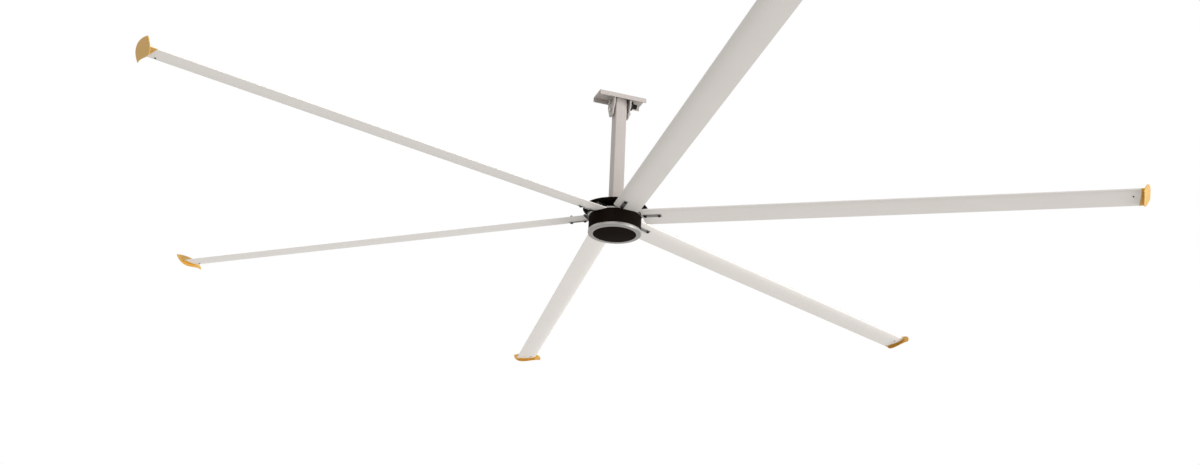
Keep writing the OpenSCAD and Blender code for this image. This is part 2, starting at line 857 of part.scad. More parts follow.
module winglet(i) {
    ts = [for (k = [0:fin_steps]) (1 - cos(180 * k / fin_steps)) / 2];
    half_w = arm_w / 2;
    half_h = arm_t / 2;
    color(AMBER) difference() {
        union() {
            fin_frame(i) across_x(-fin_t / 2, fin_t) polygon(concat(
                [for (t = ts) fin_top(t)],
                [for (k = [fin_steps - 1:-1:1]) fin_low(ts[k])]));
            intersection() {
                fin_frame(i) translate([-3 * fin_reach, -fin_l, -fin_l])
                    cube([3 * fin_reach, 2 * fin_l, 2 * fin_l]);
                arm_frame(i) across_x(blade_end + 0.1, 2 * fin_reach)
                    polygon(section_points(0, 1, 0));
            }
            arm_frame(i) translate([blade_end - tongue_l, -half_w, -half_h])
                cube([tongue_l + 10, arm_w, arm_t]);
        }
        arm_frame(i) translate([blade_end - tongue_screw, 0, -blade_t])
            cylinder(h = blade_t, r = screw_r + run_fit);
    }
}

module winglet_screws() {
    seat = -half_t(arm_u, 0) - 0.6;
    color(DARK_STEEL) for (i = [1:blades])
        arm_frame(i) translate([blade_end - tongue_screw, 0, seat]) union() {
            translate([0, 0, -4]) cylinder(h = 4, r = 2 * screw_r);
            cylinder(h = -seat - 1, r = screw_r);
        }
}

mount_channel();
ear_left();
ear_right();
pivot_bolt();
pivot_washers();
pivot_nuts();
pivot_buffer();
downrod();
pivot_sleeve();
clamp_bolt();
clamp_washers();
clamp_nut();
cable_grommet();
rod_flange();
flange_bolts();
stator_shaft();
shaft_nut();
stator_carrier();
stator_core();
stator_coils();
upper_inner_race();
lower_inner_race();
upper_ball_cage();
lower_ball_cage();
motor_housing();
upper_end_bell();
lower_cap();
bottom_cover();
hub_disc();
back_iron();
magnets();
upper_outer_race();
lower_outer_race();
shaft_seal();
housing_screws();
cover_screws();
arm_bolts();
root_straps();
blade_bolts();
blade_nuts();
winglet_screws();
for (i = [1:blades]) blade_arm(i);
for (i = [1:blades]) blade(i);
for (i = [1:blades]) winglet(i);
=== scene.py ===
"""Finish and fine shape of the high-volume low-speed ceiling fan. Metres, +Z up."""
import json
import math

import bmesh
import bpy
from mathutils import Matrix, Vector


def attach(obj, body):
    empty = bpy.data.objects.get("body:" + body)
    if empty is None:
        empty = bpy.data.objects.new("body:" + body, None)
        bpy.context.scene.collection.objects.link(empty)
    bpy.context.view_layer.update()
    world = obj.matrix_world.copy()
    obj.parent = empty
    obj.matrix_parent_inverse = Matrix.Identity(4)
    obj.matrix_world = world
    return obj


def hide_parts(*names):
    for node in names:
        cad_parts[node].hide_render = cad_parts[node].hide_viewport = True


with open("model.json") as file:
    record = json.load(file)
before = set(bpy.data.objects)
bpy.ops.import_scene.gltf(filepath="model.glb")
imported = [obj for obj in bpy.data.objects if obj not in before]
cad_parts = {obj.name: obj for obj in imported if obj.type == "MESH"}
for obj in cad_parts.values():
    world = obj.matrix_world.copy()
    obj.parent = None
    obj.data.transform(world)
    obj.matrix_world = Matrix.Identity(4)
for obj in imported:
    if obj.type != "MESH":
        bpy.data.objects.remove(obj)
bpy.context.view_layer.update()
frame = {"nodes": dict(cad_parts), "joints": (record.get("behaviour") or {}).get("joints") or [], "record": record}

# Places read from the frame
RECORD = frame["record"]
NODES = frame["nodes"]
JOINTS = {joint["name"]: joint for joint in frame["joints"]}
HUB = Vector(JOINTS["rotor_spin"]["pos_m"])

# Camera: below the rotor and looking up at it
CAMERA_DISTANCE = 9.195
CAMERA_AZIMUTH = math.radians(-110.0)
CAMERA_BELOW = math.radians(22.2)
CAMERA_PAN = math.radians(-0.67)
CAMERA_TILT = math.radians(-0.83)
CAMERA_ROLL = math.radians(2.6)
FOCAL_SHARE = 1239.5 / 1200.0
SENSOR = 36.0
FAR_CLIP = 200.0


def make_camera():
    """A camera at the photograph's viewing angle."""
    along = Vector((math.cos(CAMERA_AZIMUTH), math.sin(CAMERA_AZIMUTH), 0))
    offset = along * math.cos(CAMERA_BELOW) - Vector((0, 0, math.sin(CAMERA_BELOW)))
    ahead = -offset
    right = ahead.cross(Vector((0, 0, 1))).normalized()
    up = right.cross(ahead)
    ahead = (ahead + right * math.tan(CAMERA_PAN) + up * math.tan(CAMERA_TILT)).normalized()
    right = ahead.cross(Vector((0, 0, 1))).normalized()
    up = right.cross(ahead)
    side = right * math.cos(CAMERA_ROLL) + up * math.sin(CAMERA_ROLL)
    top = up * math.cos(CAMERA_ROLL) - right * math.sin(CAMERA_ROLL)
    data = bpy.data.cameras.new("camera")
    data.sensor_width = SENSOR
    data.lens = SENSOR * FOCAL_SHARE
    data.clip_end = FAR_CLIP
    camera = bpy.data.objects.new("camera", data)
    bpy.context.scene.collection.objects.link(camera)
    facing = Matrix((side, top, -ahead)).transposed().to_4x4()
    camera.matrix_world = Matrix.Translation(HUB + offset * CAMERA_DISTANCE) @ facing
    bpy.context.scene.camera = camera


make_camera()


# Materials
# Sockets of a colour mix, which share their names with its other kinds
MIX_FACTOR = 0
MIX_LOW = 6
MIX_HIGH = 7
MIX_RESULT = 2


def new_material(name, colour, roughness, metallic=0.0, **sockets):
    """A material with its shader's plain values set, and the shader itself."""
    material = bpy.data.materials.new(name)
    material.use_nodes = True
    shader = material.node_tree.nodes["Principled BSDF"]
    shader.inputs["Base Color"].default_value = (*colour, 1)
    shader.inputs["Roughness"].default_value = roughness
    shader.inputs["Metallic"].default_value = metallic
    for socket, value in sockets.items():
        shader.inputs[socket.replace("_", " ")].default_value = value
    return material, shader


def add_node(material, kind, **values):
    """A node of one kind, with its sockets and settings given by name."""
    node = material.node_tree.nodes.new(kind)
    for name, value in values.items():
        if name in node.inputs:
            node.inputs[name].default_value = value
        else:
            setattr(node, name, value)
    return node


def link(material, start, end):
    """Joins an output socket to an input socket."""
    material.node_tree.links.new(start, end)


def pattern(material, scale, stretch=(1, 1, 1), detail=4.0, source="Object"):
    """Noise over the piece, stretched along its axes."""
    place = add_node(material, "ShaderNodeTexCoord")
    mapping = add_node(material, "ShaderNodeMapping", Scale=stretch)
    noise = add_node(material, "ShaderNodeTexNoise", Scale=scale, Detail=detail)
    link(material, place.outputs[source], mapping.inputs["Vector"])
    link(material, mapping.outputs["Vector"], noise.inputs["Vector"])
    return noise.outputs["Fac"]


def vary_colour(material, shader, factor, low, high):
    """Runs the shader's colour between two shades along a factor."""
    mix = add_node(material, "ShaderNodeMix", data_type="RGBA")
    mix.inputs[MIX_LOW].default_value = (*low, 1)
    mix.inputs[MIX_HIGH].default_value = (*high, 1)
    link(material, factor, mix.inputs[MIX_FACTOR])
    link(material, mix.outputs[MIX_RESULT], shader.inputs["Base Color"])


def vary_roughness(material, shader, factor, low, high):
    """Runs the shader's roughness between two values along a factor."""
    span = add_node(material, "ShaderNodeMapRange")
    span.inputs["To Min"].default_value = low
    span.inputs["To Max"].default_value = high
    link(material, factor, span.inputs["Value"])
    link(material, span.outputs["Result"], shader.inputs["Roughness"])


def add_bump(material, shader, factor, strength, distance):
    """Raises the surface a little where a factor is high. The distance is in metres."""
    bump = add_node(material, "ShaderNodeBump", Strength=strength, Distance=distance)
    link(material, factor, bump.inputs["Height"])
    link(material, bump.outputs["Normal"], shader.inputs["Normal"])


def shade(colour, share):
    """A colour made darker or lighter by a share."""
    return tuple(channel * share for channel in colour)


def coated_metal(name, colour, roughness, grain=900.0, gloss=0.5, index=1.5):
    """Powder coat or paint on metal: a fine orange peel and slightly uneven tone."""
    material, shader = new_material(name, colour, roughness, Specular_IOR_Level=gloss, IOR=index)
    tone = pattern(material, 7.0, detail=6.0)
    vary_colour(material, shader, tone, shade(colour, 0.94), shade(colour, 1.05))
    peel = pattern(material, grain, detail=2.0)
    vary_roughness(material, shader, tone, roughness - 0.05, roughness + 0.08)
    add_bump(material, shader, peel, 0.25, 0.0002)
    return material


def turned_metal(name, colour, roughness):
    """Metal faced on a lathe: fine rings about the rotor's axis."""
    material, shader = new_material(name, colour, roughness, 0.85)
    place = add_node(material, "ShaderNodeTexCoord")
    mapping = add_node(material, "ShaderNodeMapping", Location=(-HUB.x, -HUB.y, 0))
    flat = add_node(material, "ShaderNodeVectorMath", operation="MULTIPLY")
    flat.inputs[1].default_value = (1, 1, 0)
    reach = add_node(material, "ShaderNodeVectorMath", operation="LENGTH")
    noise = add_node(material, "ShaderNodeTexNoise", Scale=1400.0, Detail=3.0)
    noise.noise_dimensions = "1D"
    link(material, place.outputs["Object"], mapping.inputs["Vector"])
    link(material, mapping.outputs["Vector"], flat.inputs[0])
    link(material, flat.outputs["Vector"], reach.inputs[0])
    link(material, reach.outputs["Value"], noise.inputs["W"])
    vary_colour(material, shader, noise.outputs["Fac"], shade(colour, 0.92), shade(colour, 1.06))
    vary_roughness(material, shader, noise.outputs["Fac"], roughness - 0.06, roughness + 0.1)
    add_bump(material, shader, noise.outputs["Fac"], 0.15, 0.0001)
    return material


def plated_steel(name, colour, roughness):
    """Plated or oxidised steel: fine scratches and a mottled sheen."""
    material, shader = new_material(name, colour, roughness, 0.9)
    mottle = pattern(material, 160.0, detail=5.0)
    scratch = pattern(material, 700.0, stretch=(1, 6, 1), detail=2.0)
    vary_colour(material, shader, mottle, shade(colour, 0.85), shade(colour, 1.12))
    vary_roughness(material, shader, mottle, roughness - 0.08, roughness + 0.12)
    add_bump(material, shader, scratch, 0.12, 0.0001)
    return material


def extruded_aluminium(name, colour, roughness):
    """Satin finish on an extrusion: faint draw lines along the blade, read from its own map."""
    material, shader = new_material(name, colour, roughness, 0.15)
    lines = pattern(material, 60.0, stretch=(6, 0.05, 1), detail=3.0, source="UV")
    tone = pattern(material, 1.6, detail=5.0, source="UV")
    vary_colour(material, shader, tone, shade(colour, 0.965), shade(colour, 1.03))
    vary_roughness(material, shader, lines, roughness - 0.05, roughness + 0.07)
    add_bump(material, shader, lines, 0.12, 0.0002)
    return material


def moulded_plastic(name, colour, roughness):
    """Amber plastic: a little light passes through it, and its tone runs with the wall."""
    material, shader = new_material(name, colour, roughness, Subsurface_Weight=0.12,
                                    Subsurface_Scale=0.01, Specular_IOR_Level=0.28)
    shader.inputs["Subsurface Radius"].default_value = (1.0, 0.6, 0.25)
    flow = pattern(material, 14.0, detail=4.0)
    texture = pattern(material, 1500.0, detail=2.0)
    vary_colour(material, shader, flow, shade(colour, 0.88), shade(colour, 1.08))
    vary_roughness(material, shader, flow, roughness - 0.06, roughness + 0.08)
    add_bump(material, shader, texture, 0.2, 0.0001)
    return material


def rubber(name, colour, roughness):
    """Dull rubber with a little dust on it."""
    material, shader = new_material(name, colour, roughness, Specular_IOR_Level=0.3)
    dust = pattern(material, 60.0, detail=6.0)
    vary_colour(material, shader, dust, colour, shade(colour, 1.8))
    add_bump(material, shader, pattern(material, 1200.0), 0.3, 0.0002)
    return material


def winding(name, colour, roughness):
    """Lacquered copper wire in bundles."""
    material, shader = new_material(name, colour, roughness, 0.7)
    wires = pattern(material, 420.0, stretch=(1, 1, 4), detail=1.0)
    vary_colour(material, shader, wires, shade(colour, 0.6), colour)
    add_bump(material, shader, wires, 0.8, 0.0008)
    return material


def laminated(name, colour, roughness):
    """A stack of thin steel sheets: lines across the rotor's axis."""
    material, shader = new_material(name, colour, roughness, 0.8)
    sheets = pattern(material, 3.0, stretch=(1, 1, 400), detail=1.0)
    vary_colour(material, shader, sheets, shade(colour, 0.7), shade(colour, 1.15))
    add_bump(material, shader, sheets, 0.5, 0.0003)
    return material


FINISHES = {
    "painted_mount": coated_metal("painted_mount", (0.49, 0.445, 0.42), 0.5),
    "zinc_steel": plated_steel("zinc_steel", (0.62, 0.61, 0.58), 0.35),
    "black_steel": plated_steel("black_steel", (0.03, 0.028, 0.026), 0.45),
    "dark_zinc_steel": plated_steel("dark_zinc_steel", (0.3, 0.295, 0.28), 0.42),
    "black_rubber": rubber("black_rubber", (0.012, 0.012, 0.012), 0.7),
    "bare_steel": turned_metal("bare_steel", (0.45, 0.45, 0.45), 0.35),
    "cast_aluminium": turned_metal("cast_aluminium", (0.42, 0.405, 0.39), 0.34),
    "lamination_steel": laminated("lamination_steel", (0.12, 0.12, 0.13), 0.5),
    "copper_winding": winding("copper_winding", (0.5, 0.2, 0.08), 0.4),
    "bearing_steel": plated_steel("bearing_steel", (0.6, 0.6, 0.61), 0.18),
    "black_aluminium": coated_metal("black_aluminium", (0.01, 0.0068, 0.0052), 0.5, 1500.0,
                                    gloss=0.1, index=1.1),
    "black_painted_steel": coated_metal("black_painted_steel", (0.007, 0.0048, 0.0038), 0.5,
                                        gloss=0.1, index=1.15),
    "magnet": plated_steel("magnet", (0.5, 0.5, 0.52), 0.3),
    "arm_aluminium": plated_steel("arm_aluminium", (0.5, 0.49, 0.47), 0.4),
    "blade_aluminium": extruded_aluminium("blade_aluminium", (0.78, 0.745, 0.71), 0.42),
    "amber_plastic": moulded_plastic("amber_plastic", (0.68, 0.4, 0.085), 0.42),
}
SLOT_OF = {row["node"]: row["material_slot"] for row in RECORD["subparts"]}


def dress_nodes():
    """Gives each node of the frame the finish of its material slot."""
    for name, node in NODES.items():
        node.data.materials.clear()
        node.data.materials.append(FINISHES[SLOT_OF[name]])


dress_nodes()


# Mesh helpers. Shapes are drawn in millimetres and placed in metres.
MM = Matrix.Scale(0.001, 4)
HUB_PLACE = Matrix.Translation(HUB) @ MM
MOUNT_PLACE = MM
MERGE = 0.001


def turn(degrees, axis):
    """A turn about an axis through the origin."""
    return Matrix.Rotation(math.radians(degrees), 4, axis)


def shift(x, y, z):
    """A move."""
    return Matrix.Translation((x, y, z))


def finish_piece(bm, name, body, slot, *nodes, place=MM, sharp=32.0):
    """Makes the mesh a piece of the fan, smooth but for its sharp edges."""
    bmesh.ops.remove_doubles(bm, verts=bm.verts, dist=MERGE)
    bmesh.ops.transform(bm, matrix=place, verts=bm.verts)
    bmesh.ops.recalc_face_normals(bm, faces=bm.faces)
    for edge in bm.edges:
        edge.smooth = edge.calc_face_angle(0) < math.radians(sharp)
    for face in bm.faces:
        face.smooth = True
    mesh = bpy.data.meshes.new(name)
    bm.to_mesh(mesh)
    bm.free()
    mesh.materials.append(FINISHES[slot])
    piece = bpy.data.objects.new(name, mesh)
    bpy.context.scene.collection.objects.link(piece)
    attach(piece, body)
    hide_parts(*nodes)
    return piece


def soften(bm, width, segments=2, angle=30.0):
    """Rounds every edge that is sharper than the angle."""
    limit = math.radians(angle)
    edges = [edge for edge in bm.edges if edge.calc_face_angle(0) > limit]
    bmesh.ops.bevel(bm, geom=edges, offset=width, offset_type="OFFSET", segments=segments,
                    profile=0.5, affect="EDGES", material=-1, clamp_overlap=True)
    return bm


def stamp(shape, places):
    """Copies of a shape at each place, as one mesh."""
    whole = bmesh.new()
    mesh = bpy.data.meshes.new("stamp")
    for place in places:
        copy = shape.copy()
        bmesh.ops.transform(copy, matrix=place, verts=copy.verts)
        copy.to_mesh(mesh)
        whole.from_mesh(mesh)
        copy.free()
    bpy.data.meshes.remove(mesh)
    shape.free()
    return whole


def join(*shapes):
    """Several shapes as one mesh."""
    whole = shapes[0]
    mesh = bpy.data.meshes.new("join")
    for shape in shapes[1:]:
        shape.to_mesh(mesh)
        whole.from_mesh(mesh)
        shape.free()
    bpy.data.meshes.remove(mesh)
    return whole


def spun(profile, steps=96):
    """A closed outline of radius and height, turned about the vertical axis."""
    bm = bmesh.new()
    verts = [bm.verts.new((radius, 0, height)) for radius, height in profile]
    edges = [bm.edges.new((verts[k - 1], verts[k])) for k in range(len(verts))]
    bmesh.ops.spin(bm, geom=verts + edges, cent=(0, 0, 0), axis=(0, 0, 1),
                   angle=2 * math.pi, steps=steps, use_merge=True)
    bmesh.ops.remove_doubles(bm, verts=bm.verts, dist=MERGE)
    bmesh.ops.dissolve_degenerate(bm, dist=MERGE, edges=bm.edges)
    bmesh.ops.recalc_face_normals(bm, faces=bm.faces)
    return bm


def extruded(loops, length):
    """The face inside the first outline and outside the others, drawn up along Z."""
    bm = bmesh.new()
    edges = []
    for loop in loops:
        verts = [bm.verts.new((x, y, 0)) for x, y in loop]
        edges += [bm.edges.new((verts[k - 1], verts[k])) for k in range(len(verts))]
    if len(loops) == 1:
        bm.faces.new(verts)
    else:
        bmesh.ops.triangle_fill(bm, use_beauty=True, use_dissolve=True, edges=edges)
    raised = bmesh.ops.extrude_face_region(bm, geom=bm.faces[:])
    tops = [item for item in raised["geom"] if isinstance(item, bmesh.types.BMVert)]
    bmesh.ops.translate(bm, verts=tops, vec=(0, 0, length))
    bmesh.ops.recalc_face_normals(bm, faces=bm.faces)
    return bm


def loft(rows):
    """A closed shape through rings of equally many points, with a face on both ends."""
    bm = bmesh.new()
    rings = [[bm.verts.new(point) for point in row] for row in rows]
    for low, high in zip(rings, rings[1:]):
        for k in range(len(low)):
            bm.faces.new((low[k - 1], low[k], high[k], high[k - 1]))
    bm.faces.new(rings[0][::-1])
    bm.faces.new(rings[-1])
    return bm


def circle_points(x, y, radius, count=32):
    """Points round a circle."""
    steps = [2 * math.pi * k / count for k in range(count)]
    return [(x + radius * math.cos(a), y + radius * math.sin(a)) for a in steps]


# Turns a shape drawn in X and Y, and raised along Z, so that it runs along X
ALONG_X = Matrix(((0, 0, 1, 0), (1, 0, 0, 0), (0, 1, 0, 0), (0, 0, 0, 1)))


def block(low, high, width, segments=2):
    """A box with rounded edges between two corners."""
    bm = bmesh.new()
    bmesh.ops.create_cube(bm, size=1)
    middle = [(a + b) / 2 for a, b in zip(low, high)]
    size = [b - a for a, b in zip(low, high)]
    bmesh.ops.transform(bm, matrix=shift(*middle) @ Matrix.Diagonal((*size, 1)), verts=bm.verts)
    return soften(bm, width, segments)


# A hexagon's outline has points along its flats too, so that a round chamfer can cut it
HEX_STEPS = 24
HEX_CHAMFER = 0.52
HEX_TOP_SHARE = 0.96


def hex_block(radius, height):
    """A hexagon head or nut standing at 0, its corners turned down at the top."""
    flat = radius * math.cos(math.radians(30))
    inner = flat * HEX_TOP_SHARE
    rows = [[], [], []]
    for k in range(HEX_STEPS):
        angle = 360 / HEX_STEPS * k
        reach = flat / math.cos(math.radians(angle % 60 - 30))
        shoulder = height - (reach - inner) * HEX_CHAMFER
        x, y = math.cos(math.radians(angle)), math.sin(math.radians(angle))
        for row, (r, z) in zip(rows, ((reach, 0), (reach, shoulder), (inner, height))):
            row.append((x * r, y * r, z))
    return loft(rows)


def bored_nut(radius, height, bore, low):
    """A hexagon nut with a round bore through it."""
    nut = hex_block(radius, height)
    ends = [face for face in nut.faces if len(face.verts) == HEX_STEPS]
    rims = []
    for face in ends:
        bmesh.ops.inset_individual(nut, faces=[face], thickness=0.5)
        for vert in face.verts:
            vert.co.xy = vert.co.xy.normalized() * bore
        rims += face.edges[:]
    bmesh.ops.delete(nut, geom=ends, context="FACES_ONLY")
    bmesh.ops.bridge_loops(nut, edges=rims)
    bmesh.ops.translate(nut, verts=nut.verts, vec=(0, 0, low))
    return nut


def thread(radius, low, high, pitch):
    """A threaded bar from one height to another, with a chamfered end."""
    depth = pitch * 0.5
    count = max(1, int((high - low - depth) / pitch))
    profile = [(0, low)]
    for k in range(count):
        profile += [(radius, low + k * pitch), (radius - depth, low + (k + 0.5) * pitch)]
    profile += [(radius, low + count * pitch), (radius - depth * 1.5, high), (0, high)]
    return spun(profile, 32)


def bar(radius, low, high, edge=0.6, steps=32):
    """A round bar with a small chamfer at both ends."""
    return spun([(0, low), (radius - edge, low), (radius, low + edge), (radius, high - edge),
                 (radius - edge, high), (0, high)], steps)


def washer(radius, bore, low, high):
    """A flat ring with rounded rims."""
    return soften(spun([(bore, low), (radius, low), (radius, high), (bore, high)], 48), 0.5)


def socket_head(radius, height, key):
    """A screw head standing at 0, with a hexagon socket in its top."""
    head = extruded([circle_points(0, 0, radius, 36), circle_points(0, 0, key, 6)], height)
    floor = extruded([circle_points(0, 0, key + 0.2, 6)], height * 0.35)
    return join(soften(head, min(radius, height) * 0.18), floor)


# Places in the rotor. X runs out along the arm and +Y is its trailing side.
BLADE_COUNT = 6
FIRST_BLADE = 22.83
CONE = 2.1
PITCH = 12.2


def arm_turn(number):
    """Turns the arm's own frame to its place round the hub."""
    return turn(FIRST_BLADE + (number - 1) * 360 / BLADE_COUNT, "Z")


def cone_turn(number):
    """The arm's frame, drooping by the cone angle."""
    return arm_turn(number) @ turn(CONE, "Y")


def blade_turn(number):
    """The blade's frame: the coned arm's, pitched."""
    return cone_turn(number) @ turn(-PITCH, "X")


ARMS = range(1, BLADE_COUNT + 1)

# Blade section, as shares of the chord from the leading edge
CHORD = 194.0
BLADE_T = 36.0
CAMBER = 3.0
BLADE_WALL = 1.8
TRAILING_T = 1.4
ARM_SHARE = 0.5 - 35.0 / CHORD
BLADE_START = 207.0
TIP_R = 3650.0
BLADE_END = TIP_R - 55.0
SLOT_HALF_W = 30.3
SLOT_HALF_H = 6.3
BAR_HALF_W = 30.0
BAR_HALF_H = 6.0
WEB_GAP = 52.0
SKIN_STEPS = 34


def half_thickness(u, wall=0.0):
    """Half the section's thickness at a share of the chord, less the wall."""
    shape = 0.2969 * math.sqrt(u) - 0.126 * u - 0.3516 * u**2 + 0.2843 * u**3 - 0.1036 * u**4
    return BLADE_T * 5 * shape + TRAILING_T * u - wall


def camber_height(u):
    """Height of the section's middle line, 0 at the arm."""
    return 4 * CAMBER * (u * (1 - u) - ARM_SHARE * (1 - ARM_SHARE))


def chord_place(u):
    """Place across the blade, from the arm's middle, of a share of the chord."""
    return (u - ARM_SHARE) * CHORD


def chord_share(y):
    """Share of the chord at a place across the blade."""
    return y / CHORD + ARM_SHARE


def surface(side, low, high, wall=0.0, steps=SKIN_STEPS):
    """Points on the upper (side 1) or lower (side -1) surface from share low to high."""
    shares = [low + (high - low) * (1 - math.cos(math.pi * k / steps)) / 2
              for k in range(steps + 1)]
    return [(chord_place(u), camber_height(u) + side * half_thickness(u, wall)) for u in shares]


def section_outline(low=0.0, high=1.0, wall=0.0, steps=SKIN_STEPS):
    """The section between two shares of the chord, there and back."""
    lower = surface(-1, low, high, wall, steps)[::-1]
    if low == 0.0:
        lower = lower[:-1]
    return surface(1, low, high, wall, steps) + lower


def blade_loops():
    """The skin's outline, the slot for arm and tongue, and the hollow cells."""
    w = BLADE_WALL
    slot = [(-SLOT_HALF_W, -SLOT_HALF_H), (SLOT_HALF_W, -SLOT_HALF_H),
            (SLOT_HALF_W, SLOT_HALF_H), (-SLOT_HALF_W, SLOT_HALF_H)]
    nose = section_outline(0.03, chord_share(-SLOT_HALF_W - w), w, 12)
    web = SLOT_HALF_W + w
    middle = section_outline(chord_share(web), chord_share(web + WEB_GAP), w, 10)
    tail = section_outline(chord_share(web + w + WEB_GAP), 0.88, w, 8)
    span = (chord_share(-SLOT_HALF_W), chord_share(SLOT_HALF_W))
    cells = []
    for side in (1, -1):
        shelf = side * (SLOT_HALF_H + w)
        cells.append([*surface(side, *span, w, 10), (SLOT_HALF_W, shelf), (-SLOT_HALF_W, shelf)])
    return [section_outline(), slot, nose, middle, tail, *cells]


def round_trailing_edge(bm):
    """Rounds the blunt rear edge along the whole blade."""
    rear = CHORD * (1 - ARM_SHARE) - 0.5
    edges = [edge for edge in bm.edges
             if all(vert.co.y > rear for vert in edge.verts)
             and abs(edge.verts[0].co.x - edge.verts[1].co.x) > 1]
    bmesh.ops.bevel(bm, geom=edges, offset=1.3, offset_type="OFFSET", segments=3, profile=0.5,
                    affect="EDGES", material=-1, clamp_overlap=True)


def map_along_blade(bm):
    """A map in metres: across the chord, and along the blade."""
    layer = bm.loops.layers.uv.new("UVMap")
    for face in bm.faces:
        under = 0.5 if face.normal.z < 0 else 0.0
        for loop in face.loops:
            loop[layer].uv = (loop.vert.co.y * 0.001 + under, loop.vert.co.x * 0.001)


def make_blades():
    shape = extruded(blade_loops(), BLADE_END - BLADE_START)
    bmesh.ops.transform(shape, matrix=shift(BLADE_START, 0, 0) @ ALONG_X, verts=shape.verts)
    bmesh.ops.recalc_face_normals(shape, faces=shape.faces)
    round_trailing_edge(shape)
    map_along_blade(shape)
    for number in ARMS:
        finish_piece(shape.copy(), f"blade_{number}_extrusion", "rotor", "blade_aluminium",
                     f"blade_{number}", place=HUB_PLACE @ blade_turn(number))
    shape.free()


# Winglet fin: a flat leaf-shaped plate, from its front end (0) to its rear end (1). It leans
# outwards, and its rear end is turned outwards and up.
FIN_AT = TIP_R - 15.0
FIN_MIDDLE = 35.0
FIN_LENGTH = 266.0
FIN_T = 4.5
FIN_RISE = 63.0
FIN_KEEL = 67.0
FIN_SLOPE = math.tan(math.radians(11.0))
FIN_PIVOT = 0.56
FIN_LEVEL = 0.42
FIN_TOP_POWERS = (0.35, 1.0)
FIN_LOW_POWERS = (1.7, 0.5)
FIN_ENDS = (0.0008, 0.998)
FIN_LEAN = 25.0
FIN_TOE = 9.0
TONGUE_LENGTH = 90.0

# Places what is modelled square to the fin's plate, X outwards, into the coned arm
FIN_PLACE = turn(-PITCH, "X") @ shift(0, FIN_MIDDLE, 0) @ turn(PITCH, "X")
FIN_PLACE = shift(FIN_AT, 0, 0) @ FIN_PLACE @ turn(-FIN_TOE, "Z") @ turn(FIN_LEAN, "Y")


def hump(t, p, q):
    """A hump of height 1 between 0 and 1, leaning to one side as its two powers say."""
    crest = p / (p + q)
    return t**p * (1 - t)**q / (crest**p * (1 - crest)**q)


def fin_line(t):
    """Height of the sloped line that the fin's edges start from."""
    return FIN_LENGTH * FIN_SLOPE * (t - FIN_LEVEL)


def fin_top(t):
    return fin_line(t) + FIN_RISE * hump(t, *FIN_TOP_POWERS)


def fin_low(t):
    return fin_line(t) - FIN_KEEL * hump(t, *FIN_LOW_POWERS)


def make_fin():
    """A leaf-shaped plate with rounded rims, its points a little blunted."""
    across, along = 14, 64
    bm = bmesh.new()
    bmesh.ops.create_grid(bm, x_segments=along, y_segments=across, size=0.5)
    for vert in bm.verts:
        t = (1 - math.cos(math.pi * (vert.co.x + 0.5))) / 2
        t = min(max(t, FIN_ENDS[0]), FIN_ENDS[1])
        low, top = fin_low(t), fin_top(t)
        rise = low + (top - low) * (vert.co.y + 0.5)
        vert.co = (FIN_T / 2 - 0.1, FIN_LENGTH * (t - FIN_PIVOT), rise)
    bmesh.ops.recalc_face_normals(bm, faces=bm.faces)
    if sum(face.normal.x for face in bm.faces) < 0:
        bmesh.ops.reverse_faces(bm, faces=bm.faces)
    bmesh.ops.solidify(bm, geom=bm.faces[:], thickness=FIN_T - 0.2)
    soften(bm, 1.4, 3, 50.0)
    bmesh.ops.transform(bm, matrix=FIN_PLACE, verts=bm.verts)
    return bm


# Rings of the socket, each with the size of its section: a collar at the blade's end, placed
# in millimetres from its start, and a flare, placed in shares of the way on to the fin
SOCKET_START = BLADE_END + 0.1
COLLAR = ((0.0, 1.0), (0.0, 1.035), (9.0, 1.035), (10.0, 1.0))
FLARE = ((0.55, 1.0), (0.8, 1.03), (0.92, 1.08), (1.0, 1.15))
SOCKET_STEPS = 24


def sized_section(size):
    """The blade's section made thicker, and a quarter of that longer."""
    middle = chord_place(0.5)
    stretch = 1 + (size - 1) * 0.25
    return [(middle + (y - middle) * stretch, z * size)
            for y, z in section_outline(steps=SOCKET_STEPS)]


def make_socket():
    """The body between blade end and fin: the blade's section with a collar and a flare."""
    tilt = turn(-PITCH, "X")
    to_fin = FIN_PLACE.inverted()
    along = to_fin.to_3x3() @ Vector((1, 0, 0))
    rows = [[(SOCKET_START + place, y, z) for y, z in sized_section(size)]
            for place, size in COLLAR]
    start = SOCKET_START + COLLAR[-1][0]
    for share, size in FLARE:
        row = []
        for y, z in sized_section(size):
            reach = -(to_fin @ tilt @ Vector((0, y, z))).x / along.x
            row.append((start + (reach - start) * share, y, z))
        rows.append(row)
    socket = loft(rows)
    bmesh.ops.transform(socket, matrix=tilt, verts=socket.verts)
    return socket


def make_winglets():
    tongue = block((BLADE_END - TONGUE_LENGTH, -BAR_HALF_W, -BAR_HALF_H),
                   (BLADE_END + 10, BAR_HALF_W, BAR_HALF_H), 1.0)
    bmesh.ops.transform(tongue, matrix=turn(-PITCH, "X"), verts=tongue.verts)
    shape = join(make_fin(), make_socket(), tongue)
    for number in ARMS:
        finish_piece(shape.copy(), f"winglet_{number}_moulding", "rotor", "amber_plastic",
                     f"winglet_{number}", place=HUB_PLACE @ cone_turn(number), sharp=40.0)
    shape.free()


